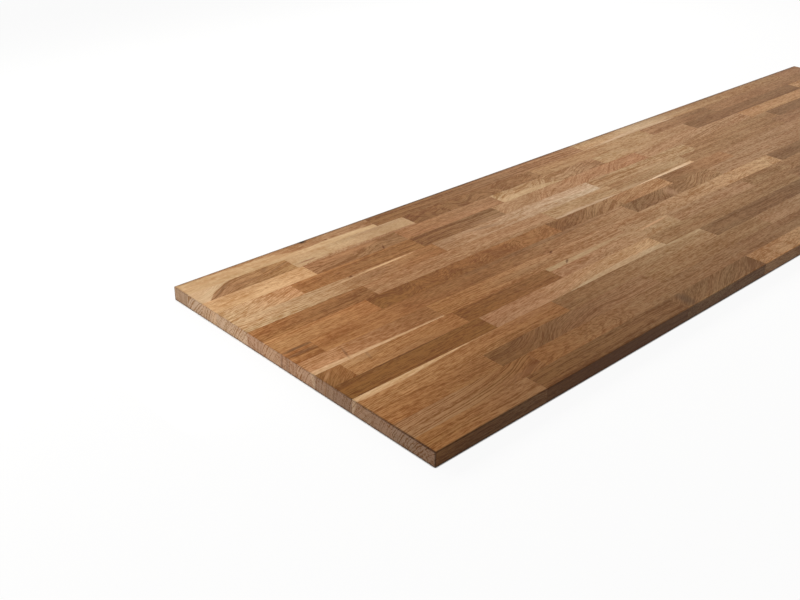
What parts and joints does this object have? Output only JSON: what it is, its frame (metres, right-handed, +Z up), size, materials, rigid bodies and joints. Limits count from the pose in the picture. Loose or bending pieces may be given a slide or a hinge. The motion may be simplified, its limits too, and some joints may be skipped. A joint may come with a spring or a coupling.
{
  "type": "solid oak worktop",
  "caption": "Flat rectangular kitchen worktop of full-thickness oak staves in parallel rows with staggered butt joints, edges lightly eased.",
  "frame": {"origin": "centre of the underside", "axes": "+X along the worktop towards its right-hand end, +Y from the front edge to the back edge, +Z up"},
  "size_m": [2.2, 0.65, 0.026],
  "materials": {
    "oiled_oak": "satin, oiled"
  },
  "bodies": {
    "root": {"stave_row_01": "oiled_oak", "stave_row_02": "oiled_oak", "stave_row_03": "oiled_oak", "stave_row_04": "oiled_oak", "stave_row_05": "oiled_oak", "stave_row_06": "oiled_oak", "stave_row_07": "oiled_oak", "stave_row_08": "oiled_oak", "stave_row_09": "oiled_oak", "stave_row_10": "oiled_oak", "stave_row_11": "oiled_oak", "stave_row_12": "oiled_oak", "stave_row_13": "oiled_oak", "stave_row_14": "oiled_oak", "stave_row_15": "oiled_oak"}
  },
  "joints": []
}
